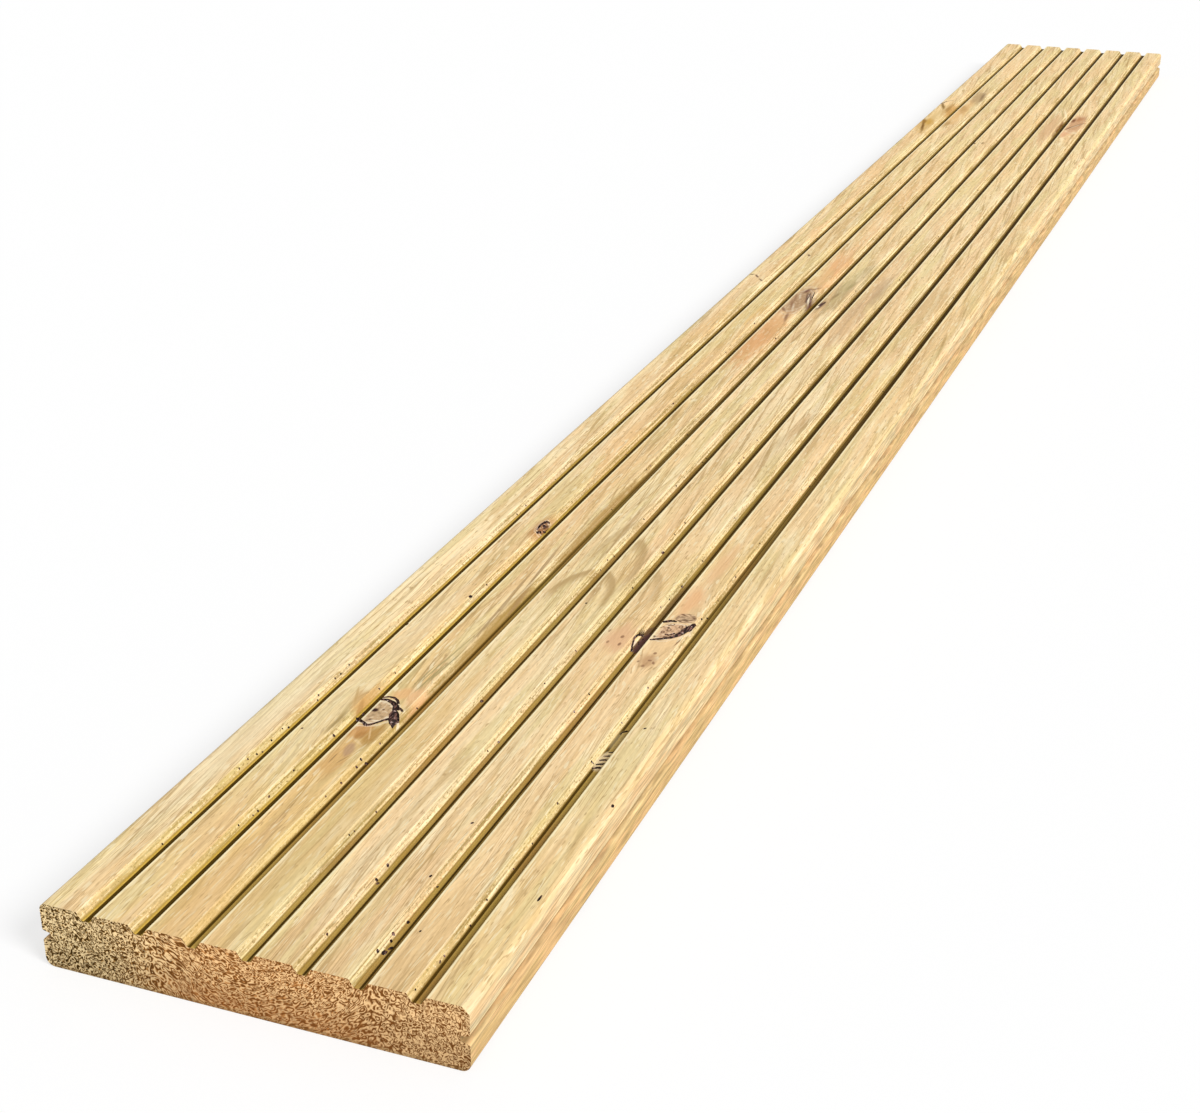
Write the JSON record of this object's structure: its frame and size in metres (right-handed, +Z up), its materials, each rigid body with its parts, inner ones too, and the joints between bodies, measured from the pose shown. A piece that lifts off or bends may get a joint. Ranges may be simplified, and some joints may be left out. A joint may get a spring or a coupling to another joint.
{
  "type": "decking board",
  "caption": "Softwood decking board with grip grooves run along its top face, rounded edges, a slot along each side and square-cut ends.",
  "frame": {"origin": "middle of the flat underside", "axes": "+Y along the board, +X across it, +Z up, out of the grooved face"},
  "size_m": [0.14, 1.5, 0.022],
  "materials": {
    "timber": "planed and moulded, pressure-treated pine, bare"
  },
  "bodies": {
    "root": {"decking_board": "timber"}
  },
  "joints": []
}
